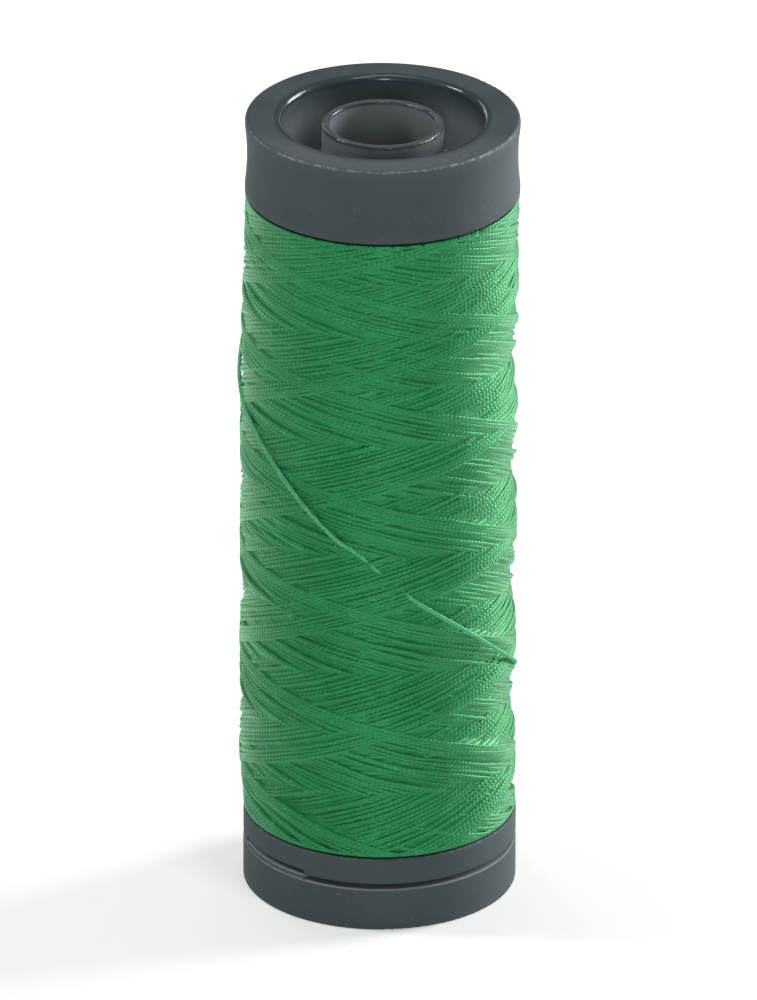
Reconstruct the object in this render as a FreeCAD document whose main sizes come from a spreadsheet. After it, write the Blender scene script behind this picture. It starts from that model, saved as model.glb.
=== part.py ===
import FreeCAD, Part
import math
import os

import Sketcher

# Small thread spool with a snap base that holds the thread end.
# Millimetres, +Z up along the spool's axis, origin in the middle of the foot.
# Angles run round the axis from the front (-Y), positive towards the right (+X).

Vector = FreeCAD.Vector

# Driving sizes: name, value, what it measures
SIZES = [
    ("spool_height", 54.5, "foot of the base to the top of the rim"),
    ("flange_radius", 9.0, "outside of both flanges"),
    ("barrel_bore_radius", 6.65, "inside of the barrel and of the rim"),
    ("barrel_wall", 0.85, "barrel tube"),
    ("press_gap", 0.02, "location fit between pressed pieces, per side"),
    ("run_gap", 0.07, "running fit of the cap's stem, per side"),
    ("stop_gap", 0.02, "left between the faces that stop the cap"),
    ("skirt_height", 5.2, "top flange, pack side to rim"),
    ("waist_depth", 0.14, "how far the top skirt is drawn in"),
    ("waist_margin", 0.5, "straight rim and foot beside the waist"),
    ("rim_rounding", 0.25, "outer edge of the rim"),
    ("recess_rounding", 0.35, "inner edge of the rim"),
    ("web_depth", 4.6, "rim to the web inside the recess"),
    ("web_thickness", 0.8, "webs that carry the sleeve"),
    ("top_spigot_length", 4.0, "top flange down into the barrel"),
    ("spigot_wall", 0.8, "both spigots"),
    ("collar_wall", 0.85, "collar of the top flange round the sleeve"),
    ("collar_length", 2.8, "that collar, below its web"),
    ("cap_height", 2.96, "cap, foot to its upper edge"),
    ("slit_clearance", 0.03, "thread slit, past each side of the thread"),
    ("band_height", 1.83, "bottom flange, slit to pack side"),
    ("tab_step", 0.36, "raised stretch of the cap's upper edge"),
    ("tab_end_angle", -34.0, "where the raised stretch ends, beside the front"),
    ("tab_sweep", 41.0, "length of the raised stretch round the edge"),
    ("tab_side_gap", 0.7, "relief past each end of the raised stretch, degrees"),
    ("foot_rounding", 0.15, "outer lower edge of the cap"),
    ("edge_break", 0.12, "small rounding of the bottom flange and the cap"),
    ("cap_rim_wall", 1.0, "outer wall of the cap"),
    ("cap_floor", 1.2, "foot to the top of the cap's floor"),
    ("foot_recess", 0.5, "hollow under the cap's floor"),
    ("foot_rim", 0.85, "ring that the spool stands on"),
    ("hub_foot", 0.95, "inner ring round the cap's hole"),
    ("stem_wall", 0.75, "stem tube of the cap"),
    ("stem_length", 7.7, "stem above the cap's floor"),
    ("bead_width", 0.7, "snap bead along the stem"),
    ("bead_rise", 0.3, "snap bead proud of the stem"),
    ("bead_chamfer", 0.25, "lead-in of the bead"),
    ("bead_room", 0.25, "free radius round the bead"),
    ("finger_slot", 0.9, "slots between the stem's four fingers"),
    ("finger_length", 4.5, "those slots, down from the stem's end"),
    ("lock_travel", 1.2, "how far the cap pulls open"),
    ("guide_wall", 0.65, "guide collar of the bottom flange"),
    ("stem_room", 1.3, "free height over the stem"),
    ("sleeve_bore_radius", 3.5, "bore for the spindle"),
    ("sleeve_wall", 0.5, "sleeve tube"),
    ("sleeve_inset", 0.45, "sleeve ends inside the rim and the foot"),
    ("sleeve_stop_rise", 0.6, "stop ring on the sleeve"),
    ("sleeve_stop_width", 0.8, "the same, along the sleeve"),
    ("sleeve_rounding", 0.12, "upper edges of the sleeve"),
    ("pack_inset", 0.25, "body of the wound thread inside the flanges' edge"),
    ("pack_side_gap", 0.05, "pack to each flange"),
    ("pack_rounding", 0.3, "outer edges of the pack"),
    ("thread_diameter", 0.3, "thread"),
    ("lay_gap", 0.02, "thread to what it lies on"),
    ("winding_turns", 24, "turns of the outer layer"),
    ("winding_margin", 0.3, "last turn below the top flange"),
    ("lead_in_radius", 0.6, "bend where the thread leaves the bottom flange"),
    ("tail_gap", 0.06, "loose strand to the winding under it"),
    ("tail_start_angle", -209.0, "where the loose strand leaves the winding"),
    ("tail_climb_angle", 17.0, "turn in which it climbs onto the winding"),
    ("tail_lead", 42.0, "height that the loose strand drops in one turn"),
    ("tail_level_angle", 16.0, "turn in which it levels out at the slit"),
    ("tail_tuck_radius", 1.4, "bend into the slit"),
]

# Places that follow from the driving sizes
PLACES = [
    ("barrel_radius", "Sizes.barrel_bore_radius + Sizes.barrel_wall"),
    ("slit_gap", "Sizes.thread_diameter + 2 * Sizes.slit_clearance"),
    ("slit_middle", "Sizes.cap_height + slit_gap / 2"),
    ("flange_under", "Sizes.cap_height + slit_gap"),
    ("base_height", "flange_under + Sizes.band_height"),
    ("skirt_foot", "Sizes.spool_height - Sizes.skirt_height"),
    ("skirt_middle", "Sizes.spool_height - Sizes.skirt_height / 2"),
    ("waist_low", "skirt_foot + Sizes.waist_margin"),
    ("waist_high", "Sizes.spool_height - Sizes.waist_margin"),
    ("waist_chord", "waist_high - waist_low"),
    (
        "waist_radius",
        "(waist_chord * waist_chord / 4 + Sizes.waist_depth * Sizes.waist_depth)"
        " / (2 * Sizes.waist_depth)",
    ),
    ("web_top", "Sizes.spool_height - Sizes.web_depth"),
    ("web_under", "web_top - Sizes.web_thickness"),
    ("spigot_radius", "Sizes.barrel_bore_radius - Sizes.press_gap"),
    ("spigot_bore", "spigot_radius - Sizes.spigot_wall"),
    ("top_spigot_end", "skirt_foot - Sizes.top_spigot_length"),
    ("sleeve_radius", "Sizes.sleeve_bore_radius + Sizes.sleeve_wall"),
    ("sleeve_seat_radius", "sleeve_radius + Sizes.press_gap"),
    ("collar_radius", "sleeve_seat_radius + Sizes.collar_wall"),
    ("collar_end", "web_under - Sizes.collar_length"),
    ("sleeve_foot", "Sizes.sleeve_inset"),
    ("sleeve_top", "Sizes.spool_height - Sizes.sleeve_inset"),
    ("stem_top", "Sizes.cap_floor + Sizes.stem_length"),
    ("lower_web_under", "stem_top + Sizes.stem_room"),
    ("lower_web_top", "lower_web_under + Sizes.web_thickness"),
    ("sleeve_stop_top", "lower_web_top + Sizes.sleeve_stop_width"),
    ("sleeve_stop_radius", "sleeve_radius + Sizes.sleeve_stop_rise"),
    ("stem_bore", "sleeve_radius + Sizes.run_gap"),
    ("stem_radius", "stem_bore + Sizes.stem_wall"),
    ("hub_foot_radius", "stem_bore + Sizes.hub_foot"),
    ("foot_rim_radius", "Sizes.flange_radius - Sizes.foot_rim"),
    ("cap_inner_radius", "Sizes.flange_radius - Sizes.cap_rim_wall"),
    ("bead_radius", "stem_radius + Sizes.bead_rise"),
    ("bead_foot", "stem_top - Sizes.bead_width"),
    ("bead_shoulder", "stem_top - Sizes.bead_chamfer"),
    ("bead_tip_radius", "bead_radius - Sizes.bead_chamfer"),
    ("finger_root", "stem_top - Sizes.finger_length"),
    ("tab_top", "Sizes.cap_height + Sizes.tab_step"),
    # Upright sketches lie a quarter turn past the front before they are turned
    ("tab_start_turn", "Sizes.tab_end_angle - Sizes.tab_sweep - 90"),
    ("guide_bore", "stem_radius + Sizes.run_gap"),
    ("guide_radius", "guide_bore + Sizes.guide_wall"),
    ("guide_foot", "Sizes.cap_floor + Sizes.stop_gap"),
    ("bead_stop", "bead_foot - Sizes.lock_travel - Sizes.stop_gap"),
    ("bead_chamber", "bead_radius + Sizes.bead_room"),
    ("relief_top", "flange_under + Sizes.tab_step"),
    ("relief_radius", "cap_inner_radius - Sizes.run_gap"),
    ("relief_start_turn", "tab_start_turn - Sizes.tab_side_gap"),
    ("relief_sweep", "Sizes.tab_sweep + 2 * Sizes.tab_side_gap"),
    ("pack_radius", "Sizes.flange_radius - Sizes.pack_inset"),
    ("pack_bore", "barrel_radius + Sizes.lay_gap"),
    ("pack_foot", "base_height + Sizes.pack_side_gap"),
    ("pack_top", "skirt_foot - Sizes.pack_side_gap"),
    ("winding_radius", "pack_radius + Sizes.lay_gap + Sizes.thread_diameter / 2"),
    ("winding_foot", "base_height + Sizes.thread_diameter + Sizes.lead_in_radius"),
    ("winding_top", "skirt_foot - Sizes.winding_margin"),
    ("tail_radius", "winding_radius + Sizes.thread_diameter + Sizes.tail_gap"),
]

# The foot plane, written as a place so that outlines can name it
FOOT = "foot"

# A winding stays this clear of itself, measured past this length of its path
LEAST_OWN_GAP = 0.4
GAP_STRETCH = 2.4

# Points further apart than this count as far apart
GAP_REACH = 2.0

# Edges are found at their radius and height to this closeness
EDGE_SLACK = 1e-4

# A cut or an added stretch changes the volume by at least this much
LEAST_CHANGE = 1e-6

# Share by which a thread's volume may differ from its length times its section
VOLUME_SLACK = 0.01


def fill_sheet(document, name, rows, text_of):
    """A spreadsheet with one named value per row."""
    sheet = document.addObject("Spreadsheet::Sheet", name)
    for line, row in enumerate(rows, start=1):
        sheet.set(f"A{line}", row[0])
        sheet.set(f"B{line}", text_of(row))
        sheet.setAlias(f"B{line}", row[0])
    document.recompute()
    return sheet


def make_sheets(document):
    """The sheet of driving sizes and the sheet of places worked out from them."""
    sizes = fill_sheet(document, "Sizes", SIZES, lambda row: str(row[1]))
    places = fill_sheet(document, "Places", PLACES, lambda row: "=" + row[1])
    return sizes, places


class Sheet:
    """Looks a name up in both sheets, as a number or as an expression."""

    def __init__(self, document):
        self.sizes, self.places = make_sheets(document)
        self.size_names = {row[0] for row in SIZES}

    def number(self, name):
        if name == FOOT:
            return 0.0
        holder = self.sizes if name in self.size_names else self.places
        return float(holder.get(name))

    def expression(self, name):
        holder = "Sizes" if name in self.size_names else "Places"
        return f"{holder}.{name}"


def make_body(document, label):
    body = document.addObject("PartDesign::Body", "Body_" + label)
    body.Label = label
    return body


def origin_plane(body, role):
    for feature in body.Origin.OriginFeatures:
        if feature.Role == role:
            return feature
    raise RuntimeError(f"{body.Label} has no {role}")


def attached_sketch(body, name, role):
    sketch = body.newObject("Sketcher::SketchObject", name)
    sketch.AttachmentSupport = [(origin_plane(body, role), "")]
    sketch.MapMode = "FlatFace"
    return sketch


def fix_point(sketch, sheet, line, across, up):
    """Ties the start of one edge to its two named distances from the origin."""
    for kind, name in (("DistanceX", across), ("DistanceY", up)):
        if name == FOOT:
            sketch.addConstraint(Sketcher.Constraint("PointOnObject", line, 1, -1))
            continue
        number = sheet.number(name)
        index = sketch.addConstraint(Sketcher.Constraint(kind, -1, 1, line, 1, number))
        sketch.setExpression(f"Constraints[{index}]", sheet.expression(name))


def outline_sketch(body, sheet, name, corners, role="XZ_Plane"):
    """A closed outline of straight edges through (across, up) pairs of names."""
    sketch = attached_sketch(body, name, role)
    points = [Vector(sheet.number(a), sheet.number(u), 0) for a, u in corners]
    for start, end in zip(points, points[1:] + points[:1]):
        sketch.addGeometry(Part.LineSegment(start, end), False)
    count = len(corners)
    for line in range(count):
        following = (line + 1) % count
        sketch.addConstraint(Sketcher.Constraint("Coincident", line, 2, following, 1))
    for line, (across, up) in enumerate(corners):
        fix_point(sketch, sheet, line, across, up)
    return sketch


def turn_sketch(sketch, sheet, name):
    """Turns an upright sketch round the spool's axis to a named angle."""
    turn = FreeCAD.Rotation(Vector(0, 1, 0), sheet.number(name))
    sketch.AttachmentOffset = FreeCAD.Placement(Vector(0, 0, 0), turn)
    sketch.setExpression("AttachmentOffset.Rotation.Angle", sheet.expression(name))


def revolve(body, sketch, name, kind="PartDesign::Revolution", sweep=360.0):
    feature = body.newObject(kind, name)
    feature.Profile = sketch
    feature.ReferenceAxis = (sketch, ["V_Axis"])
    if isinstance(sweep, str):
        feature.setExpression("Angle", sweep)
    else:
        feature.Angle = sweep
    sketch.Visibility = False
    return feature


def expect_volume(document, feature, before, grows):
    """Stops if a cut or an added stretch did nothing or went the wrong way."""
    document.recompute()
    change = feature.Shape.Volume - before
    if (change <= 0) == grows or abs(change) < LEAST_CHANGE:
        raise RuntimeError(f"{feature.Name} changed the volume by {change:.4f} mm3")


def ring_edges(shape, radius, height):
    """Names of the circular edges at one radius and height."""
    found = []
    for number, edge in enumerate(shape.Edges, start=1):
        curve = edge.Curve
        if not isinstance(curve, Part.Circle):
            continue
        level = abs(curve.Center.z - height) < EDGE_SLACK
        if level and abs(curve.Radius - radius) < EDGE_SLACK:
            found.append(f"Edge{number}")
    return found


def round_rings(document, body, sheet, name, base, rings, rounding):
    """Rounds the circular edges at the given (radius, height) names."""
    document.recompute()
    edges = []
    for radius, height in rings:
        edges += ring_edges(base.Shape, sheet.number(radius), sheet.number(height))
    if not edges:
        raise RuntimeError(f"{name} finds no edge to round")
    fillet = body.newObject("PartDesign::Fillet", name)
    fillet.Base = (base, edges)
    fillet.setExpression("Radius", sheet.expression(rounding))
    document.recompute()
    return fillet


def make_barrel(document, sheet):
    """Plain tube that the thread is wound on, held between the two flanges."""
    body = make_body(document, "barrel")
    corners = [
        ("barrel_bore_radius", "base_height"),
        ("barrel_radius", "base_height"),
        ("barrel_radius", "skirt_foot"),
        ("barrel_bore_radius", "skirt_foot"),
    ]
    sketch = outline_sketch(body, sheet, "BarrelOutline", corners)
    revolve(body, sketch, "BarrelTube")
    return body


def make_top_flange(document, sheet):
    """Rim ring with its web, the collar round the sleeve and the spigot."""
    body = make_body(document, "top_flange")
    corners = [
        ("flange_radius", "skirt_foot"),
        ("flange_radius", "spool_height"),
        ("barrel_bore_radius", "spool_height"),
        ("barrel_bore_radius", "web_top"),
        ("sleeve_seat_radius", "web_top"),
        ("sleeve_seat_radius", "collar_end"),
        ("collar_radius", "collar_end"),
        ("collar_radius", "web_under"),
        ("spigot_bore", "web_under"),
        ("spigot_bore", "top_spigot_end"),
        ("spigot_radius", "top_spigot_end"),
        ("spigot_radius", "skirt_foot"),
    ]
    sketch = outline_sketch(body, sheet, "TopFlangeOutline", corners)
    turned = revolve(body, sketch, "TopFlangeTurned")
    document.recompute()
    waist = cut_waist(document, body, sheet, turned)
    outer = round_rings(
        document, body, sheet, "RimOuterRounding", waist,
        [("flange_radius", "spool_height")], "rim_rounding",
    )
    inner = round_rings(
        document, body, sheet, "RimInnerRounding", outer,
        [("barrel_bore_radius", "spool_height")], "recess_rounding",
    )
    round_rings(
        document, body, sheet, "SkirtFootRounding", inner,
        [("flange_radius", "skirt_foot")], "edge_break",
    )
    return body


def cut_waist(document, body, sheet, turned):
    """Draws the skirt in along a shallow arc."""
    sketch = attached_sketch(body, "WaistOutline", "XZ_Plane")
    radius = sheet.number("flange_radius")
    low = Vector(radius, sheet.number("waist_low"), 0)
    high = Vector(radius, sheet.number("waist_high"), 0)
    middle = sheet.number("skirt_middle")
    deepest = Vector(radius - sheet.number("waist_depth"), middle, 0)
    sketch.addGeometry(Part.LineSegment(low, high), False)
    sketch.addGeometry(Part.Arc(high, deepest, low), False)
    arc = sketch.Geometry[1]
    first = 1 if (arc.StartPoint - high).Length < (arc.EndPoint - high).Length else 2
    sketch.addConstraint(Sketcher.Constraint("Coincident", 0, 2, 1, first))
    sketch.addConstraint(Sketcher.Constraint("Coincident", 0, 1, 1, 3 - first))
    fix_point(sketch, sheet, 0, "flange_radius", "waist_low")
    sketch.addConstraint(Sketcher.Constraint("Vertical", 0))
    for kind, name in (("DistanceY", "waist_chord"), ("Radius", "waist_radius")):
        number = sheet.number(name)
        if kind == "Radius":
            constraint = Sketcher.Constraint(kind, 1, number)
        else:
            constraint = Sketcher.Constraint(kind, 0, 1, 0, 2, number)
        index = sketch.addConstraint(constraint)
        sketch.setExpression(f"Constraints[{index}]", sheet.expression(name))
    groove = revolve(body, sketch, "SkirtWaist", "PartDesign::Groove")
    expect_volume(document, groove, turned.Shape.Volume, grows=False)
    return groove


def make_bottom_flange(document, sheet):
    """Disc under the pack, with the cap's guide below and the spigot above."""
    body = make_body(document, "bottom_flange")
    corners = [
        ("guide_bore", "guide_foot"),
        ("guide_radius", "guide_foot"),
        ("guide_radius", "flange_under"),
        ("flange_radius", "flange_under"),
        ("flange_radius", "base_height"),
        ("spigot_radius", "base_height"),
        ("spigot_radius", "lower_web_top"),
        ("sleeve_seat_radius", "lower_web_top"),
        ("sleeve_seat_radius", "lower_web_under"),
        ("bead_chamber", "lower_web_under"),
        ("bead_chamber", "bead_stop"),
        ("guide_bore", "bead_stop"),
    ]
    sketch = outline_sketch(body, sheet, "BottomFlangeOutline", corners)
    turned = revolve(body, sketch, "BottomFlangeTurned")
    edges = [("flange_radius", "flange_under"), ("flange_radius", "base_height")]
    eased = round_rings(
        document, body, sheet, "BandRounding", turned, edges, "edge_break"
    )
    relief_corners = [
        ("relief_radius", "flange_under"),
        ("flange_radius", "flange_under"),
        ("flange_radius", "relief_top"),
        ("relief_radius", "relief_top"),
    ]
    relief_sketch = outline_sketch(body, sheet, "TabReliefOutline", relief_corners)
    turn_sketch(relief_sketch, sheet, "relief_start_turn")
    sweep = sheet.expression("relief_sweep")
    relief = revolve(body, relief_sketch, "TabRelief", "PartDesign::Groove", sweep)
    expect_volume(document, relief, eased.Shape.Volume, grows=False)
    return body


def make_lock_cap(document, sheet):
    """Base cap: foot ring, floor, rim and the stem with its snap bead."""
    body = make_body(document, "lock_cap")
    corners = [
        ("stem_bore", FOOT),
        ("hub_foot_radius", FOOT),
        ("hub_foot_radius", "foot_recess"),
        ("foot_rim_radius", "foot_recess"),
        ("foot_rim_radius", FOOT),
        ("flange_radius", FOOT),
        ("flange_radius", "cap_height"),
        ("cap_inner_radius", "cap_height"),
        ("cap_inner_radius", "cap_floor"),
        ("stem_radius", "cap_floor"),
        ("stem_radius", "bead_foot"),
        ("bead_radius", "bead_foot"),
        ("bead_radius", "bead_shoulder"),
        ("bead_tip_radius", "stem_top"),
        ("stem_bore", "stem_top"),
    ]
    sketch = outline_sketch(body, sheet, "CapOutline", corners)
    turned = revolve(body, sketch, "CapTurned")
    foot = round_rings(
        document, body, sheet, "FootRounding", turned,
        [("flange_radius", FOOT)], "foot_rounding",
    )
    eased = round_rings(
        document, body, sheet, "CapEdgeRounding", foot,
        [("flange_radius", "cap_height")], "edge_break",
    )
    tab = add_cap_tab(document, body, sheet, eased)
    cut_stem_slots(document, body, sheet, tab)
    return body


def add_cap_tab(document, body, sheet, base):
    """The raised stretch of the cap's edge that ends in the thread catch."""
    tab_corners = [
        ("cap_inner_radius", "cap_floor"),
        ("flange_radius", "cap_floor"),
        ("flange_radius", "tab_top"),
        ("cap_inner_radius", "tab_top"),
    ]
    sketch = outline_sketch(body, sheet, "CapTabOutline", tab_corners)
    turn_sketch(sketch, sheet, "tab_start_turn")
    tab = revolve(body, sketch, "CapTab", sweep=sheet.expression("tab_sweep"))
    expect_volume(document, tab, base.Shape.Volume, grows=True)
    return round_rings(
        document, body, sheet, "CapTabRounding", tab,
        [("flange_radius", "tab_top")], "edge_break",
    )


def cut_stem_slots(document, body, sheet, base):
    """Two cross slots that leave the stem as four springy fingers."""
    sketch = attached_sketch(body, "SlotOutline", "XZ_Plane")
    half = sheet.number("finger_slot") / 2
    low = sheet.number("finger_root")
    high = sheet.number("stem_top")
    across_up = [(-half, low), (half, low), (half, high), (-half, high)]
    points = [Vector(across, up, 0) for across, up in across_up]
    for start, end in zip(points, points[1:] + points[:1]):
        sketch.addGeometry(Part.LineSegment(start, end), False)
    for line in range(4):
        sketch.addConstraint(Sketcher.Constraint("Coincident", line, 2, (line + 1) % 4, 1))
    sketch.addConstraint(Sketcher.Constraint("Horizontal", 2))
    for line in (1, 3):
        sketch.addConstraint(Sketcher.Constraint("Vertical", line))
    sketch.addConstraint(Sketcher.Constraint("Symmetric", 0, 1, 0, 2, -2))
    bound = [
        (Sketcher.Constraint("DistanceX", 0, 1, 0, 2, 2 * half), "finger_slot"),
        (Sketcher.Constraint("DistanceY", -1, 1, 0, 1, low), "finger_root"),
        (Sketcher.Constraint("DistanceY", -1, 1, 2, 1, high), "stem_top"),
    ]
    for constraint, name in bound:
        index = sketch.addConstraint(constraint)
        sketch.setExpression(f"Constraints[{index}]", sheet.expression(name))
    slot = body.newObject("PartDesign::Pocket", "FingerSlot")
    slot.Profile = sketch
    slot.Type = "ThroughAll"
    slot.SideType = "Symmetric"
    sketch.Visibility = False
    expect_volume(document, slot, base.Shape.Volume, grows=False)
    crossed = body.newObject("PartDesign::PolarPattern", "FingerSlots")
    crossed.Originals = [slot]
    crossed.Axis = (sketch, ["V_Axis"])
    crossed.Angle = 90
    crossed.Occurrences = 2
    body.Tip = crossed
    expect_volume(document, crossed, slot.Shape.Volume, grows=False)
    return crossed


def make_spindle_sleeve(document, sheet):
    """Thin tube for the spindle, with the ring that stops it on the lower web."""
    body = make_body(document, "spindle_sleeve")
    corners = [
        ("sleeve_bore_radius", "sleeve_foot"),
        ("sleeve_radius", "sleeve_foot"),
        ("sleeve_radius", "lower_web_top"),
        ("sleeve_stop_radius", "lower_web_top"),
        ("sleeve_stop_radius", "sleeve_stop_top"),
        ("sleeve_radius", "sleeve_stop_top"),
        ("sleeve_radius", "sleeve_top"),
        ("sleeve_bore_radius", "sleeve_top"),
    ]
    sketch = outline_sketch(body, sheet, "SleeveOutline", corners)
    turned = revolve(body, sketch, "SleeveTube")
    ends = [("sleeve_radius", "sleeve_top"), ("sleeve_bore_radius", "sleeve_top")]
    round_rings(
        document, body, sheet, "SleeveRounding", turned, ends, "sleeve_rounding"
    )
    return body


def make_thread_core(document, sheet):
    """The inner layers of thread as one plain ring on the barrel."""
    body = make_body(document, "thread_core")
    corners = [
        ("pack_bore", "pack_foot"),
        ("pack_radius", "pack_foot"),
        ("pack_radius", "pack_top"),
        ("pack_bore", "pack_top"),
    ]
    sketch = outline_sketch(body, sheet, "PackOutline", corners)
    turned = revolve(body, sketch, "PackRing")
    edges = [("pack_radius", "pack_foot"), ("pack_radius", "pack_top")]
    round_rings(document, body, sheet, "PackRounding", turned, edges, "pack_rounding")
    return body


def on_drum(radius, angle, height):
    """The point at a radius, an angle in degrees from the front and a height."""
    turn = math.radians(angle)
    return Vector(radius * math.sin(turn), -radius * math.cos(turn), height)


def along_drum(angle, rise):
    """Unit direction round the drum that rises by `rise` per unit of way round."""
    turn = math.radians(angle)
    return Vector(math.cos(turn), math.sin(turn), rise).normalize()


def biarc_split(start, start_way, end, end_way):
    """Length of the equal legs of the two arcs that join two directed points."""
    step = end - start
    ways = start_way + end_way
    square = 2 * (start_way.dot(end_way) - 1)
    linear = -2 * step.dot(ways)
    constant = step.dot(step)
    if abs(square) < 1e-12:
        return -constant / linear
    root = math.sqrt(linear * linear - 4 * square * constant)
    return (-linear - root) / (2 * square)


def arc_edge(start, corner, end):
    """The arc from start to end that is tangent to both legs at the corner."""
    chord_middle = (start + end) / 2
    half_chord = (end - start).Length / 2
    leg = (corner - start).Length
    height = (corner - chord_middle).Length
    if height < 1e-6 * leg:
        return Part.LineSegment(start, end).toShape(), math.inf
    radius = leg * half_chord / height
    sagitta = radius - math.sqrt(radius * radius - half_chord * half_chord)
    through = chord_middle + (corner - chord_middle) * (sagitta / height)
    return Part.Arc(start, through, end).toShape(), radius


def thread_path(knots):
    """Tangent arcs through (point, direction) knots; their edges and least radius."""
    edges = []
    least_radius = math.inf
    for (start, start_way), (end, end_way) in zip(knots, knots[1:]):
        leg = biarc_split(start, start_way, end, end_way)
        first_corner = start + start_way * leg
        second_corner = end - end_way * leg
        joint = (first_corner + second_corner) / 2
        for piece in ((start, first_corner, joint), (joint, second_corner, end)):
            edge, radius = arc_edge(*piece)
            edges.append(edge)
            least_radius = min(least_radius, radius)
    return edges, least_radius


def sweep_thread(name, knots, diameter):
    """One unbroken round tube along the knots, checked by volume and by radius."""
    edges, least_radius = thread_path(knots)
    spine = Part.Wire(edges)
    start, way = knots[0]
    section = Part.Wire([Part.Circle(start, way, diameter / 2).toShape()])
    shell = Part.BRepOffsetAPI.MakePipeShell(spine)
    shell.add(section)
    shell.build()
    shell.makeSolid()
    solid = shell.shape()
    if solid.Volume < 0:
        solid.reverse()
    expected = math.pi * diameter * diameter / 4 * spine.Length
    print(
        f"{name}: {spine.Length:.1f} mm long, least bend radius {least_radius:.2f} mm, "
        f"volume {solid.Volume:.3f} of {expected:.3f} mm3"
    )
    if least_radius < diameter:
        raise RuntimeError(f"{name} bends tighter than the thread")
    if abs(solid.Volume - expected) > VOLUME_SLACK * expected:
        raise RuntimeError(f"{name} has the wrong volume")
    return solid, edges


def points_along(edges, spacing):
    """Points on the path with their distance from its start."""
    points = []
    travelled = 0.0
    for edge in edges:
        count = max(2, math.ceil(edge.Length / spacing))
        for index, point in enumerate(edge.discretize(count + 1)[:-1]):
            points.append((travelled + edge.Length * index / count, point))
        travelled += edge.Length
    return points


def least_gap(points, others, diameter, apart):
    """Least clear distance between points of two paths more than `apart` along."""
    cells = {}
    for place, point in others:
        key = tuple(math.floor(value / GAP_REACH) for value in point)
        cells.setdefault(key, []).append((place, point))
    nearest = math.inf
    offsets = (-1, 0, 1)
    around = [(i, j, k) for i in offsets for j in offsets for k in offsets]
    for place, point in points:
        key = tuple(math.floor(value / GAP_REACH) for value in point)
        for i, j, k in around:
            for other_place, other in cells.get((key[0] + i, key[1] + j, key[2] + k), ()):
                if abs(other_place - place) > apart:
                    nearest = min(nearest, (other - point).Length)
    return nearest - diameter


def winding_knots(sheet):
    """Out of the bottom flange, then up the pack a quarter turn at a time."""
    radius = sheet.number("winding_radius")
    diameter = sheet.number("thread_diameter")
    turns = int(sheet.number("winding_turns"))
    bend = sheet.number("lead_in_radius")
    floor = sheet.number("base_height")
    bottom = sheet.number("winding_foot")
    top = sheet.number("winding_top")
    last_angle = sheet.number("tail_start_angle")
    first_angle = last_angle - 360 * turns
    rise = (top - bottom) / (2 * math.pi * radius * turns)
    lead_in_angle = first_angle - math.degrees(bend / radius)
    upward = Vector(0, 0, 1)
    knots = [
        (on_drum(radius, lead_in_angle, floor), upward),
        (on_drum(radius, lead_in_angle, floor + diameter), upward),
    ]
    for quarter in range(4 * turns + 1):
        angle = first_angle + 90 * quarter
        height = bottom + (top - bottom) * quarter / (4 * turns)
        knots.append((on_drum(radius, angle, height), along_drum(angle, rise)))
    end, way = knots[-1]
    knots[-1] = (end - way * diameter, way)
    knots.append((end, way))
    return knots


def tail_knots(sheet, start):
    """From the end of the winding, down over it and into the slit of the base."""
    diameter = sheet.number("thread_diameter")
    point, way = start
    radius = sheet.number("tail_radius")
    top = sheet.number("winding_top")
    slit_height = sheet.number("slit_middle")
    lead = sheet.number("tail_lead")
    fall = -lead / (2 * math.pi * radius)
    climb_angle = sheet.number("tail_climb_angle")
    level_angle = sheet.number("tail_level_angle")
    leaving = sheet.number("tail_start_angle") + climb_angle / 2
    reaching = leaving + (top - slit_height) * 360 / lead
    climbed = leaving + climb_angle / 2
    levelling = reaching - level_angle / 2
    slit_angle = reaching + level_angle / 2
    quarters = math.ceil((levelling - climbed) / 90)
    knots = [(point, way), (point + way * diameter, way)]
    for quarter in range(quarters + 1):
        angle = climbed + (levelling - climbed) * quarter / quarters
        height = top - lead * (angle - leaving) / 360
        knots.append((on_drum(radius, angle, height), along_drum(angle, fall)))
    knots.append((on_drum(radius, slit_angle, slit_height), along_drum(slit_angle, 0)))
    tuck = sheet.number("tail_tuck_radius")
    tucked_angle = slit_angle + math.degrees(math.atan2(tuck, radius - tuck))
    inward = on_drum(-1, tucked_angle, 0)
    tucked_radius = math.hypot(tuck, radius - tuck)
    knots.append((on_drum(tucked_radius, tucked_angle, slit_height), inward))
    end_radius = sheet.number("guide_radius") + sheet.number("lay_gap")
    knots.append((on_drum(end_radius, tucked_angle, slit_height), inward))
    return knots


def make_thread(document, sheet):
    """The outer layer of turns and the loose strand that follows it."""
    diameter = sheet.number("thread_diameter")
    wound = winding_knots(sheet)
    winding, wound_edges = sweep_thread("thread_winding", wound, diameter)
    loose = tail_knots(sheet, wound[-1])
    tail, loose_edges = sweep_thread("thread_tail", loose, diameter)
    wound_points = points_along(wound_edges, diameter)
    loose_points = points_along(loose_edges, diameter)
    own_gap = least_gap(wound_points, wound_points, diameter, GAP_STRETCH)
    print(f"thread_winding: least gap to itself {own_gap:.3f} mm")
    if own_gap <= LEAST_OWN_GAP:
        raise RuntimeError("thread_winding lies too close to itself")
    pieces = []
    for label, shape in (("thread_winding", winding), ("thread_tail", tail)):
        piece = document.addObject("Part::Feature", "Body_" + label)
        piece.Shape = shape
        piece.Placement = FreeCAD.Placement()
        piece.Label = label
        pieces.append(piece)
    return pieces


def check(document, pieces):
    """Stops before anything is written if a feature failed or a solid is bad."""
    for item in document.Objects:
        bad = [state for state in item.State if state in ("Invalid", "Error")]
        if bad:
            raise RuntimeError(f"{item.Label} is {bad}")
    for piece in pieces:
        shape = piece.Shape
        if shape.isNull() or not shape.isValid() or not shape.Solids:
            raise RuntimeError(f"{piece.Label} has no sound solid")


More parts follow.
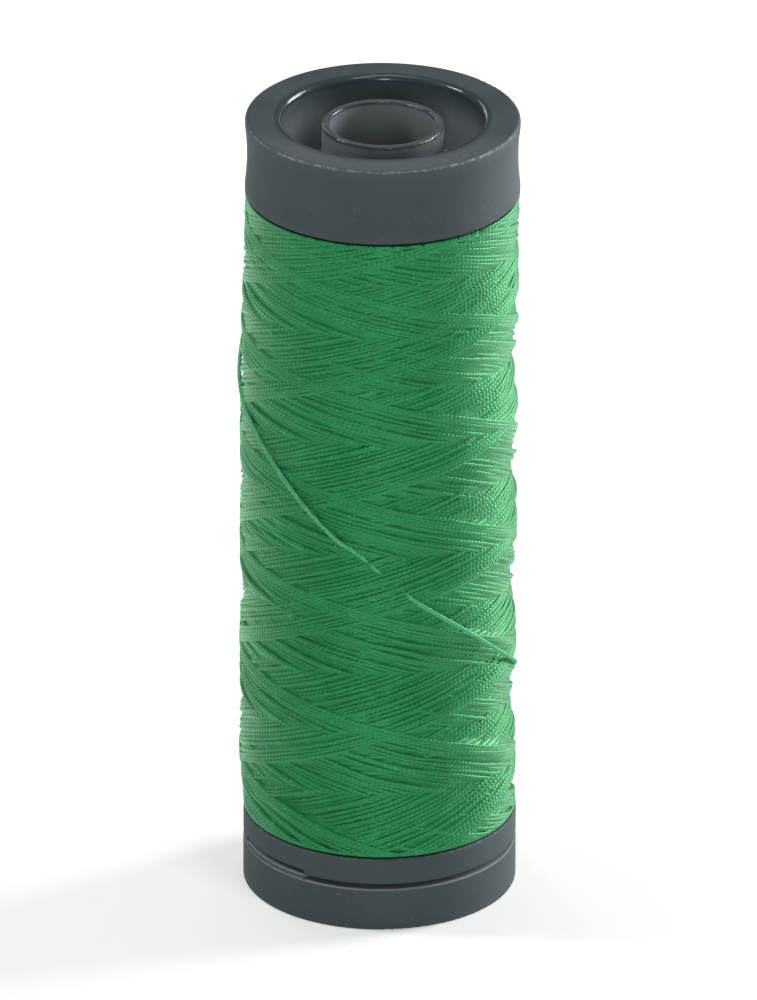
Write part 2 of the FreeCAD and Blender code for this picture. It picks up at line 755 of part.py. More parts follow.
def write_parts(pieces):
    os.makedirs("parts", exist_ok=True)
    for piece in pieces:
        piece.Shape.exportStep(os.path.join("parts", piece.Label + ".step"))
        box = piece.Shape.BoundBox
        print(
            f"{piece.Label}: {len(piece.Shape.Solids)} solid, "
            f"{piece.Shape.Volume:.2f} mm3, z {box.ZMin:.2f} to {box.ZMax:.2f}, "
            f"width {box.XLength:.2f}"
        )


def main():
    document = FreeCAD.newDocument("ThreadSpool")
    sheet = Sheet(document)
    makers = [
        make_barrel,
        make_top_flange,
        make_bottom_flange,
        make_spindle_sleeve,
        make_lock_cap,
        make_thread_core,
    ]
    pieces = [maker(document, sheet) for maker in makers]
    pieces += make_thread(document, sheet)
    document.recompute()
    check(document, pieces)
    write_parts(pieces)


main()
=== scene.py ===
import math

import bpy
import numpy as np
from mathutils import Euler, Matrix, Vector


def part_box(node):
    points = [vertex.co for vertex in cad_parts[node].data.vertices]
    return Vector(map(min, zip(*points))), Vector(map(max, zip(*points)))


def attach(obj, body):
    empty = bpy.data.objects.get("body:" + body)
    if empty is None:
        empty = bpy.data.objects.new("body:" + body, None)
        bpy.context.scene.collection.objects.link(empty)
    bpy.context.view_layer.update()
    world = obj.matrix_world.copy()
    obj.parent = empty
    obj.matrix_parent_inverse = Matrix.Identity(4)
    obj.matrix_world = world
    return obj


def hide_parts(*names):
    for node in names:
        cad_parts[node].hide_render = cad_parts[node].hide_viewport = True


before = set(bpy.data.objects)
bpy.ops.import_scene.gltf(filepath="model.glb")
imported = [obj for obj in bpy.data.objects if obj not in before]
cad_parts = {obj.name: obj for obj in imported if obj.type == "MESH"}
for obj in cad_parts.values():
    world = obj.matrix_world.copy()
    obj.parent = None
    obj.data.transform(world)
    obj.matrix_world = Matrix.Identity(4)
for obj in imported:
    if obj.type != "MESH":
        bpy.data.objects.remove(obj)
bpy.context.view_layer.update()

# Thread spool dressed for its photograph.
# Places on the spool are worked out in millimetres and made in metres.
# Angles run round the axis from the front (-Y), positive towards the right (+X).
MM = 0.001

# Heights and radii of the CAD pieces
FLANGE_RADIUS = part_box("bottom_flange")[1].x / MM
PACK_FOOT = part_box("barrel")[0].z / MM
PACK_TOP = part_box("barrel")[1].z / MM
PACK_HEIGHT = PACK_TOP - PACK_FOOT
BARREL_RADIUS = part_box("barrel")[1].x / MM
RIM_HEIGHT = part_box("top_flange")[1].z / MM
SLEEVE_RADIUS = 4.0
RECESS_RADIUS = 6.65
SLIT_HEIGHT = 3.14
GUIDE_RADIUS = 5.54
CAP_EDGE_HEIGHT = 2.94
RAISED_EDGE_HEIGHT = 3.30
# Top of the painted fill light in the slit
SLIT_FILL_HEIGHT = 3.6
CLEARANCE = 0.02

# Winding: one thread laid up and down in steep turns, each pair of passes a small
# step beside the last. LEAD is how far it climbs in one turn.
THREAD_DIAMETER = 0.3
WOUND_DIAMETER = 0.26
RISING_TURNS = 2.6
FALLING_TURNS = 2.9
LEAD = 15.8
PASS_PAIRS = 62
PASS_SPACING = 0.128
PASS_JITTER = 0.04
STEPS_PER_TURN = 120
WINDING_PIECES = 4

# Pairs of passes that end with a wider step, which leaves an open groove
GROOVES = {6: 0.16, 13: 0.12, 21: 0.2, 29: 0.14, 38: 0.18, 47: 0.14, 52: 0.2}

# How a pass strays: waves of these lengths in degrees, and turns tilted to the front
WAVER = 0.06
WAVE_LENGTHS = (34.0, 57.0, 101.0)
WAVE_TOTAL = 1.7
RING_TILT = 1.7
TILT_POWER = 0.7

# How a pass turns back at the ends of the pack
END_ROUNDING = 0.12
END_MARGIN = 0.12
OVERSHOOT = 0.5

# A wound strand: its section, how far it settles and how soft its shading is
STRAND_SIDES = 6
CAP_CORNERS = 16
STRAND_TALL = 0.9
STRAND_WIDE = 1.0
STRAND_SINK = 0.16
STRAND_EASE = 1.6
WINDING_EASE = 0.7
STRAND_SOFTNESS = 0.42

# Under layers: size of their waves, turns round and turns up, and the ends' build-up
BASE_RADIUS = 8.15
BASE_WAVES = ((0.03, 3, 9), (0.025, 2, -14))
END_BUILD_UP = 0.12
END_BUILD_WIDTH = 1.2

# Past this radius most of a strand's height is pressed back
OUTER_LIMIT = 8.82
PRESSED_BACK = 0.85

# The pack stands out on its left and fades at its top and foot, in shares of the height
LEFT_LUMP = 0.34
RIGHT_HOLLOW = -0.6
LUMP_TOP_FADE = 0.25
LUMP_FOOT_FADE = 0.08

# Solid body under the strands
PACK_BELOW = 0.08
PACK_BLUR = 6
PACK_COLUMNS = 240
PACK_ROWS = 230
PACK_SHOULDER = 0.12

# Surface grid that records how far out the thread has built up, and the rows of it
# that a strand touches
GRID_ROUND = 720
GRID_STEP = 0.05
NEAR_ROWS = range(-3, 4)

# Loose strand over the winding: (angle, height) points, down to the slit
LOOSE_POINTS = [
    (-209.0, 49.0),
    (-200.0, 48.6),
    (-180.0, 46.6),
    (-150.0, 43.1),
    (-120.0, 39.6),
    (-90.0, 36.1),
    (-62.5, 34.0),
    (-46.0, 32.1),
    (-34.0, 30.3),
    (-20.0, 28.3),
    (-9.0, 26.9),
    (13.0, 23.9),
    (31.5, 21.7),
    (43.6, 20.2),
    (59.0, 18.3),
    (82.0, 15.8),
    (110.0, 12.6),
    (140.0, 9.1),
    (165.0, 6.3),
    (180.0, 4.7),
    (191.0, 3.5),
    (200.6, 3.14),
]
LOOSE_STEP = 0.5
LOOSE_EASE = 9

# How it is drawn taut over what lies below, and where it comes down on the band
TAUT_ROUNDS = 60
TAUT_EASE = 5
BAND_FROM = 0.4

# Where it dives under the turns, in degrees, and how deep
UNDER_STRETCHES = ((-10.5, 9.0), (84.0, 150.0))
UNDER_EASE = 7.0
UNDER_DEPTH = 0.5

# Where it presses into the fuller left side of the pack
PRESSED_AT = -80.0
PRESSED_WIDTH = 25.0
PRESSED_DEPTH = 0.16

# Its start under the top flange
START_EASE = 12.0
START_DEPTH = 0.3

# Its bend into the slit
TUCK_RADIUS = 1.5
BEND_SAMPLES = 24
TUCK_SAMPLES = 20
INSIDE_BAND = 0.6

# Its plies: turn, size and how soft their shading is
PLIES = 3
PLY_PITCH = 1.0
PLY_SAMPLES = 14
PLY_EASE = 3
PLY_FULLNESS = 0.54
PLY_SOFTNESS = 0.35
PLY_MAP_STEPS = 120
PLY_MAP_APART = 200

# Base colours, linear
PLASTIC_DARK = (0.032, 0.05, 0.056, 1)
PLASTIC_LIGHT = (0.044, 0.065, 0.072, 1)
PLASTIC_SPECK = (0.1, 0.12, 0.125, 1)
# Painted fill light: a lighter colour that lifts the shade in hollows
PLASTIC_PAINTED_FILL = (0.19, 0.215, 0.23, 1)
THREAD_DARK = (0.019, 0.147, 0.054, 1)
THREAD_LIGHT = (0.03, 0.2, 0.08, 1)
# Painted highlight: the loose strand coloured paler than the wound thread
THREAD_LOOSE_HIGHLIGHT = (0.13, 0.52, 0.27, 1)
THREAD_PATCH = (0.035, 0.3, 0.12, 1)
# Painted shade between the plies
THREAD_PLY_SHADE = (0.008, 0.075, 0.028, 1)
THREAD_DULL_RUN = (0.012, 0.11, 0.04, 1)
# Painted glint on the strands
THREAD_PAINTED_GLINT = (0.06, 0.36, 0.16, 1)
# Painted shade on the under layers
THREAD_UNDER_SHADE = (0.008, 0.08, 0.03, 1)

# Sides of the spool where pale circles show: worn ones, and painted highlights and
# sheen
FRONT = -1
ALL_ROUND = 0

# Depth in metres of the fine relief on plastic and thread
RELIEF = 0.00003

# Light panels: name, azimuth, elevation, distance, width, height and power
PANELS = [
    ("key_panel", 34, 62, 0.7, 0.16, 0.12, 0.7),
    ("front_strip", -3, 8, 0.7, 0.05, 0.4, 1.8),
    ("right_panel", 115, 12, 0.6, 0.24, 0.5, 5.6),
    ("upper_left_panel", -100, 40, 0.7, 0.16, 0.12, 1.7),
    ("left_edge_panel", -150, 12, 0.6, 0.15, 0.5, 0.5),
    ("top_panel", -160, 80, 0.7, 0.25, 0.2, 0.7),
]

random = np.random.default_rng(17)


def mesh_object(name, points, faces):
    """A mesh object from points in millimetres and lists of corner numbers."""
    mesh = bpy.data.meshes.new(name)
    points = np.asarray(points, dtype=np.float64) * MM
    corners = np.concatenate([np.asarray(face).ravel() for face in faces])
    sizes = np.concatenate(
        [np.full(len(face), np.asarray(face).shape[1]) for face in faces]
    )
    starts = np.concatenate([[0], np.cumsum(sizes)[:-1]])
    mesh.vertices.add(len(points))
    mesh.vertices.foreach_set("co", points.ravel())
    mesh.loops.add(len(corners))
    mesh.loops.foreach_set("vertex_index", corners.astype(np.int32))
    mesh.polygons.add(len(sizes))
    mesh.polygons.foreach_set("loop_start", starts.astype(np.int32))
    mesh.update(calc_edges=True)
    mesh.validate()
    mesh.shade_smooth()
    made = bpy.data.objects.new(name, mesh)
    bpy.context.scene.collection.objects.link(made)
    return made


def add_uv(made, name, coordinates):
    layer = made.data.uv_layers.new(name=name)
    layer.data.foreach_set("uv", np.asarray(coordinates, dtype=np.float32).ravel())


def add_surface(made, bake, strand, normals):
    """Gives a strand's mesh its two layouts and its soft shading."""
    add_uv(made, "OFBake", bake)
    add_uv(made, "strand", strand)
    made.data.normals_split_custom_set_from_vertices(normals.reshape(-1, 3))


def unit(vectors):
    """The same directions, each of length one."""
    return vectors / np.linalg.norm(vectors, axis=-1, keepdims=True)


def drum_points(radius, angle, height):
    """Points at radii, angles in degrees from the front and heights."""
    turn = np.radians(angle)
    places = (radius * np.sin(turn), -radius * np.cos(turn), height)
    return np.stack(np.broadcast_arrays(*places), axis=-1)


def path_length(points):
    steps = np.linalg.norm(np.diff(points, axis=0), axis=1)
    return np.concatenate([[0.0], np.cumsum(steps)])


def bell(width, reach):
    """Weights of a bell curve that add up to one, `width` its standard deviation."""
    weights = np.exp(-0.5 * (np.arange(-reach, reach + 1) / width) ** 2)
    return weights / weights.sum()


def smooth_along(values, width):
    """Running mean along a strand, weighted by a bell of `width` samples."""
    reach = int(width * 3) + 1
    padded = np.pad(values, reach, mode="edge")
    return np.convolve(padded, bell(width, reach), mode="valid")


def blur_round(surface, width):
    """The surface evened out both ways, closed round the drum."""
    reach = 3 * width
    weights = bell(width, reach)
    total = np.zeros_like(surface)
    for offset, weight in zip(range(-reach, reach + 1), weights):
        total += weight * np.roll(surface, offset, axis=0)
    padded = np.pad(total, ((0, 0), (reach, reach)), mode="edge")
    evened = np.zeros_like(surface)
    for offset, weight in enumerate(weights):
        evened += weight * padded[:, offset : offset + surface.shape[1]]
    return evened


def waver(angle):
    """A smooth wandering of a strand from side to side."""
    total = np.zeros_like(angle)
    for wave in WAVE_LENGTHS:
        phase = random.uniform(0, 2 * math.pi)
        weight = random.uniform(0.3, 1)
        total += np.sin(2 * math.pi * angle / wave + phase) * weight
    return total * WAVER / WAVE_TOTAL


def left_fullness(angle, share):
    """Share of the left lump: 1 on the left, below 0 on the right, 0 at the ends."""
    fullness = np.clip((1.0 - share) / LUMP_TOP_FADE, 0, 1)
    fullness = fullness * np.clip(share / LUMP_FOOT_FADE, 0, 1)
    return np.clip(-np.sin(angle), RIGHT_HOLLOW, 1) * fullness


def base_surface():
    """Radius of the under layers on the grid, fuller on the left and at the ends."""
    rows = int(round(PACK_HEIGHT / GRID_STEP)) + 1
    angle = np.radians(np.arange(GRID_ROUND) * 360.0 / GRID_ROUND)[:, None]
    height = (np.arange(rows) * GRID_STEP)[None, :]
    share = height / PACK_HEIGHT
    lump = LEFT_LUMP * left_fullness(angle, share)
    uneven = sum(
        size * np.sin(around * angle + upward * share)
        for size, around, upward in BASE_WAVES
    )
    ends = np.minimum(height, PACK_HEIGHT - height)
    build_up = END_BUILD_UP * np.exp(-((ends / END_BUILD_WIDTH) ** 2))
    return BASE_RADIUS + lump + uneven + build_up


def grid_column(angle):
    return np.round(angle * GRID_ROUND / 360.0).astype(int) % GRID_ROUND


def grid_row(surface, level):
    return np.clip(np.round(level).astype(int), 0, surface.shape[1] - 1)


def strand_heights():
    """Angle and height of every sample of the whole winding, and its passes."""
    low = PACK_FOOT + END_MARGIN
    high = PACK_TOP - END_MARGIN
    starts = [0.0]
    for pair in range(PASS_PAIRS):
        step = PASS_SPACING + random.uniform(-PASS_JITTER, PASS_JITTER)
        step += GROOVES.get(pair, 0.0)
        turns = RISING_TURNS + FALLING_TURNS + step / LEAD
        starts.append(starts[-1] + 360.0 * turns)
    count = int(starts[-1] / 360.0 * STEPS_PER_TURN)
    angle = np.arange(count) * 360.0 / STEPS_PER_TURN
    height = np.empty(count)
    passes = []
    for first, last in zip(starts, starts[1:]):
        middle = first + 360.0 * RISING_TURNS
        for begin, end, rising in ((first, middle, True), (middle, last, False)):
            chosen = np.nonzero((angle >= begin) & (angle < end))[0]
            share = (angle[chosen] - begin) / (end - begin)
            rise = share if rising else 1 - share
            height[chosen] = low - OVERSHOOT + (high - low + 2 * OVERSHOOT) * rise
            height[chosen] += waver(angle[chosen])
            tilt = RING_TILT * np.sin(math.pi * rise) ** TILT_POWER
            height[chosen] += tilt * np.cos(np.radians(angle[chosen]))
            passes.append(chosen)
    rounded = low + np.sqrt(np.maximum(height - low, 0) ** 2 + END_ROUNDING**2)
    rounded = high - np.sqrt(np.maximum(high - rounded, 0) ** 2 + END_ROUNDING**2)
    rounded = np.clip(rounded, low + END_ROUNDING, high - END_ROUNDING)
    return angle, rounded, passes


def lay_strand(surface, angle, height):
    """Radius of a strand's centre where it comes to lie on the built-up surface."""
    half = WOUND_DIAMETER / 2
    column = grid_column(angle)
    level = (height - PACK_FOOT) / GRID_STEP
    rest = np.full(len(angle), -np.inf)
    for offset in NEAR_ROWS:
        across = offset * GRID_STEP
        lift = math.sqrt(max(half * half - across * across, 0.0))
        row = grid_row(surface, level + offset)
        rest = np.maximum(rest, surface[column, row] + lift)
    laid = np.maximum(smooth_along(rest, STRAND_EASE), rest - STRAND_SINK)
    share = (height - PACK_FOOT) / PACK_HEIGHT
    lump = LEFT_LUMP * np.maximum(left_fullness(np.radians(angle), share), 0)
    over = np.maximum(laid - OUTER_LIMIT - lump, 0)
    return laid - PRESSED_BACK * over


def press_in(surface, angle, height, radius):
    """Raises the surface under a strand that has been laid."""
    half = WOUND_DIAMETER / 2
    fine = np.arange(angle[0], angle[-1], 360.0 / GRID_ROUND)
    fine_radius = np.interp(fine, angle, radius)
    column = grid_column(fine)
    level = (np.interp(fine, angle, height) - PACK_FOOT) / GRID_STEP
    for offset in NEAR_ROWS:
        row = grid_row(surface, level + offset)
        across = np.abs(row - level) * GRID_STEP
        top = fine_radius + np.sqrt(np.maximum(half * half - across * across, 0.0))
        np.maximum.at(surface, (column, row), top)


def quads(*corners):
    """Faces of four corners each from arrays of corner numbers."""
    return np.stack(np.broadcast_arrays(*corners), axis=-1).reshape(-1, 4)


def tube_points(centre, outward, tall, wide):
    """Rings of points round a path, `tall` outwards and `wide` sideways."""
    ahead = unit(np.gradient(centre, axis=0))
    sideways = unit(np.cross(ahead, outward))
    upright = np.cross(sideways, ahead)
    phase = (2 * math.pi * np.arange(STRAND_SIDES) / STRAND_SIDES)[:, None]
    rings = centre[:, None] + tall * np.cos(phase) * upright[:, None]
    return rings + wide * np.sin(phase) * sideways[:, None]


def tube_faces(rings):
    """Quads between rings of six points, and two quads that close each end."""
    ring = np.arange(rings - 1)[:, None] * STRAND_SIDES
    ahead = ring + STRAND_SIDES
    side = np.arange(STRAND_SIDES)[None, :]
    following = (side + 1) % STRAND_SIDES
    walls = quads(ring + side, ring + following, ahead + following, ahead + side)
    last = (rings - 1) * STRAND_SIDES
    caps = np.array(
        [
            [3, 2, 1, 0],
            [5, 4, 3, 0],
            [last, last + 1, last + 2, last + 3],
            [last, last + 3, last + 4, last + 5],
        ]
    )
    return walls, caps


def soft_normals(points, centre, outward, softness):
    """Directions away from a strand's centre line, turned towards outwards."""
    away = unit(points - centre[:, None])
    return unit((1 - softness) * away + softness * outward[:, None])


def side_shares():
    """Share of the way round a strand at the corners of each of its sides."""
    low = np.arange(STRAND_SIDES) / STRAND_SIDES
    high = (np.arange(STRAND_SIDES) + 1) / STRAND_SIDES
    return np.stack([low, high, high, low], axis=-1)


def wall_uv(start, end, around):
    """Layout of a tube's walls: each step's start and end, and places round it."""
    u = np.stack([start, start, end, end], axis=-1)[:, None, :]
    return np.stack(np.broadcast_arrays(u, around), axis=-1).reshape(-1, 2)


def strand_uv(along):
    """Length along the thread in millimetres and share of the way round it."""
    walls = wall_uv(along[:-1], along[1:], side_shares())
    caps = np.zeros((CAP_CORNERS, 2))
    caps[: CAP_CORNERS // 2, 0] = along[0]
    caps[CAP_CORNERS // 2 :, 0] = along[-1]
    return np.concatenate([walls, caps])


def inset(values, margin):
    """Values from 0 to 1 drawn in by a margin at both ends."""
    return values * (1 - 2 * margin) + margin


def bake_uv(rings, per_row):
    """Lays the tube out in rows of `per_row` steps, each row clear of the next."""
    row, place = np.divmod(np.arange(rings - 1), per_row)
    start = place / per_row
    end = start + 1.0 / per_row
    around = (row[:, None, None] + inset(side_shares(), 0.03)) / (row[-1] + 1)
    walls = wall_uv(inset(start, 0.001), inset(end, 0.001), around)
    return np.concatenate([walls, np.zeros((CAP_CORNERS, 2))])


def make_winding(surface):
    """Winds the thread over the under layers and makes its meshes."""
    angle, height, passes = strand_heights()
    radius = np.empty(len(angle))
    for chosen in passes:
        laid = lay_strand(surface, angle[chosen], height[chosen])
        radius[chosen] = laid
        press_in(surface, angle[chosen], height[chosen], laid)
    radius = smooth_along(radius, WINDING_EASE)
    centre = drum_points(radius, angle, height)
    outward = drum_points(1.0, angle, 0.0)
    along = path_length(centre)
    half = WOUND_DIAMETER / 2
    points = tube_points(centre, outward, half * STRAND_TALL, half * STRAND_WIDE)
    normals = soft_normals(points, centre, outward, STRAND_SOFTNESS)
    edges = np.linspace(0, len(angle) - 1, WINDING_PIECES + 1).astype(int)
    edges = (edges // STEPS_PER_TURN) * STEPS_PER_TURN
    edges[-1] = len(angle) - 1
    made = []
    for number, (first, last) in enumerate(zip(edges, edges[1:]), start=1):
        length = slice(first, last + 1)
        rings = last - first + 1
        chosen = points[length].reshape(-1, 3)
        piece = mesh_object(f"winding_{number}", chosen, tube_faces(rings))
        bake = bake_uv(rings, STEPS_PER_TURN)
        add_surface(piece, bake, strand_uv(along[length]), normals[length])
        made.append(piece)
    outer = radius + half
    print(
        f"winding: {along[-1] / 1000:.1f} m in {angle[-1] / 360:.0f} turns, outside "
        f"{np.percentile(outer, 5):.2f} to {np.percentile(outer, 99.9):.2f} mm"
    )
    return made


def make_pack_body(surface):
    """The under layers as one uneven ring on the barrel, just below the strands."""
    evened = blur_round(surface, PACK_BLUR) - PACK_BELOW
    rows = np.linspace(1, surface.shape[1] - 2, PACK_ROWS).round().astype(int)
    outer = evened[:: GRID_ROUND // PACK_COLUMNS, :][:, rows].T
    heights = PACK_FOOT + rows * GRID_STEP
    end = np.minimum(heights - heights[0], heights[-1] - heights)
    short = np.clip(PACK_SHOULDER - end, 0, PACK_SHOULDER)
    outer = outer - (PACK_SHOULDER - np.sqrt(PACK_SHOULDER**2 - short**2))[:, None]
    inner = np.full((1, PACK_COLUMNS), BARREL_RADIUS + CLEARANCE)
    radius = np.concatenate([inner, outer, inner])
    heights = np.concatenate([heights[:1], heights, heights[-1:]])
    angle = np.arange(PACK_COLUMNS) * 360.0 / PACK_COLUMNS
    points = drum_points(radius, angle, heights[:, None]).reshape(-1, 3)
    row = np.arange(len(heights))[:, None] * PACK_COLUMNS
    above = (row + PACK_COLUMNS) % (len(heights) * PACK_COLUMNS)
    column = np.arange(PACK_COLUMNS)[None, :]
    following = (column + 1) % PACK_COLUMNS
    faces = quads(row + column, row + following, above + following, above + column)
    return mesh_object("pack_body", points, [faces])


def taut_radius(surface, angle, height):
    """Radius at which the strand lies taut over the winding and the band."""
    column = grid_column(angle)
    level = (height - PACK_FOOT) / GRID_STEP
    rest = np.zeros(len(angle))
    for offset in NEAR_ROWS:
        row = grid_row(surface, level + offset)
        rest = np.maximum(rest, surface[column, row])
    rest[height < PACK_FOOT + BAND_FROM] = FLANGE_RADIUS + CLEARANCE
    taut = rest.copy()
    for _ in range(TAUT_ROUNDS):
        taut = np.maximum(rest, smooth_along(taut, TAUT_EASE))
    return smooth_along(taut, TAUT_EASE) + THREAD_DIAMETER / 2


def settled_radius(angle, radius):
    """The strand's radius where it dives, presses in and starts under the flange."""
    for begin, end in UNDER_STRETCHES:
        under = np.clip((angle - begin) / UNDER_EASE + 1, 0, 1)
        under *= np.clip((end - angle) / UNDER_EASE + 1, 0, 1)
        under = under * under * (3 - 2 * under)
        radius = radius - UNDER_DEPTH * under
    pressed = np.exp(-(((angle - PRESSED_AT) / PRESSED_WIDTH) ** 2))
    start = np.clip((angle[0] + START_EASE - angle) / START_EASE, 0, 1)
    return radius - PRESSED_DEPTH * pressed - START_DEPTH * start


def tucked_end(angle, radius):
    """The strand's bend from an angle and radius into the slit, and on inwards."""
    turn = np.linspace(0, math.pi / 2, BEND_SAMPLES)[1:]
    aside = TUCK_RADIUS * np.sin(turn)
    inward = radius - TUCK_RADIUS + TUCK_RADIUS * np.cos(turn)
    bend_angle = angle + np.degrees(np.arctan2(aside, inward))
    bend_radius = np.hypot(aside, inward)
    bend = drum_points(bend_radius, bend_angle, SLIT_HEIGHT)
    inner = np.linspace(bend_radius[-1], GUIDE_RADIUS + CLEARANCE, TUCK_SAMPLES)[1:]
    return np.concatenate([bend, drum_points(inner, bend_angle[-1], SLIT_HEIGHT)])


def loose_path(surface):
    """Centre line of the loose strand, its outward directions and length along it."""
    angles, heights = np.array(LOOSE_POINTS).T
    angle = np.arange(angles[0], angles[-1], LOOSE_STEP)
    height = smooth_along(np.interp(angle, angles, heights), LOOSE_EASE)
    radius = settled_radius(angle, taut_radius(surface, angle, height))
    wound = drum_points(radius, angle, height)
    line = np.concatenate([wound, tucked_end(angle[-1], radius[-1])])
    along = path_length(line)
    even = np.arange(0, along[-1], PLY_PITCH / PLY_SAMPLES)
    columns = [np.interp(even, along, line[:, axis]) for axis in range(3)]
    line = np.stack([smooth_along(column, PLY_EASE) for column in columns], axis=-1)
    outward = unit(line * np.array([1.0, 1.0, 0.0]))
    inside = np.hypot(line[:, 0], line[:, 1]) < FLANGE_RADIUS - INSIDE_BAND
    outward[inside] = np.array([0.0, 0.0, 1.0])
    return line, outward, path_length(line)


def make_loose_strand(surface):
    """Three plies twisted round the line of the loose strand."""
    line, outward, along = loose_path(surface)
    ahead = unit(np.gradient(line, axis=0))
    sideways = unit(np.cross(ahead, np.array([0.0, 0.0, 1.0])))
    normal = np.cross(sideways, ahead)
    ply = THREAD_DIAMETER / (1 + 2 / math.sqrt(3))
    offset = THREAD_DIAMETER / 2 - ply / 2
    half = ply * PLY_FULLNESS
    rings = len(line)
    points, faces, bake, strand = [], [], [], []
    for number in range(PLIES):
        phase = 2 * math.pi * (along / PLY_PITCH + number / PLIES)
        away = np.cos(phase)[:, None] * normal + np.sin(phase)[:, None] * sideways
        points.append(tube_points(line + offset * away, away, half, half))
        first = number * rings * STRAND_SIDES
        faces += [corners + first for corners in tube_faces(rings)]
        strand.append(strand_uv(along + number * PLY_MAP_APART))
        layout = bake_uv(rings, PLY_MAP_STEPS)
        layout[:, 1] = (layout[:, 1] + number) / PLIES
        bake.append(layout)
    points = np.stack(points)
    normals = soft_normals(points, line, outward, PLY_SOFTNESS)
    made = mesh_object("loose_strand", points.reshape(-1, 3), faces)
    add_surface(made, np.concatenate(bake), np.concatenate(strand), normals)
    print(f"loose strand: {along[-1]:.1f} mm long")
    return made


class Nodes:
    """Short calls that add nodes to one material and join them."""

    def __init__(self, name):
        self.material = bpy.data.materials.new(name)
        self.material.use_nodes = True
        self.tree = self.material.node_tree
        self.shader = self.tree.nodes["Principled BSDF"]
        self.output = self.tree.nodes["Material Output"]

    def add(self, kind, **settings):
        node = self.tree.nodes.new(kind)
        for name, value in settings.items():
            setattr(node, name, value)
        return node

    def link(self, source, target):
        self.tree.links.new(source, target)

    def put(self, target, value):
        if isinstance(value, bpy.types.NodeSocket):
            self.link(value, target)
        else:
            target.default_value = value

    def settle(self, values):
        """Sets inputs of the shader by name."""
        for name, value in values.items():
            self.put(self.shader.inputs[name], value)

    def math(self, operation, first, second=0.0, third=0.0):
        node = self.add("ShaderNodeMath", operation=operation)
        for target, value in zip(node.inputs, (first, second, third)):
            self.put(target, value)
        return node.outputs[0]

    def times(self, first, second):
        return self.math("MULTIPLY", first, second)

    def noise(self, place, scale, detail, roughness=0.55):
        node = self.add("ShaderNodeTexNoise")
        self.put(node.inputs["Vector"], place)
        node.inputs["Scale"].default_value = scale
        node.inputs["Detail"].default_value = detail
        node.inputs["Roughness"].default_value = roughness
        return node.outputs[0]

    def span(self, value, low, high, to_low=0.0, to_high=1.0):
        node = self.add("ShaderNodeMapRange", interpolation_type="SMOOTHSTEP")
        for target, number in zip(node.inputs, (value, low, high, to_low, to_high)):
            self.put(target, number)
        return node.outputs[0]

    def mix(self, share, first, second):
        node = self.add("ShaderNodeMix", data_type="RGBA", blend_type="MIX")
        self.put(node.inputs[0], share)
        self.put(node.inputs[6], first)
        self.put(node.inputs[7], second)
        return node.outputs[2]

    def place(self):
        return self.add("ShaderNodeTexCoord").outputs["Object"]

    def split(self, vector):
        node = self.add("ShaderNodeSeparateXYZ")
        self.link(vector, node.inputs[0])
        return node.outputs

    def join(self, across, along, up):
        node = self.add("ShaderNodeCombineXYZ")
        for target, value in zip(node.inputs, (across, along, up)):
            self.put(target, value)
        return node.outputs[0]

    def bump(self, height, strength):
        node = self.add("ShaderNodeBump")
        node.inputs["Distance"].default_value = RELIEF
        node.inputs["Strength"].default_value = strength
        self.link(height, node.inputs["Height"])
        return node.outputs[0]

    def off_axis(self, across, along):
        """Distance from the spool's axis."""
        square = self.times(across, across)
        square = self.math("MULTIPLY_ADD", along, along, square)
        return self.math("SQRT", square)

    def off_circle(self, radius, up, ring):
        """Distance from a circle round the axis, given in millimetres."""
        outer = self.math("SUBTRACT", radius, ring["radius"] * MM)
        above = self.math("SUBTRACT", up, ring["height"] * MM)
        apart = self.times(outer, outer)
        apart = self.math("MULTIPLY_ADD", above, above, apart)
        return self.math("SQRT", apart)


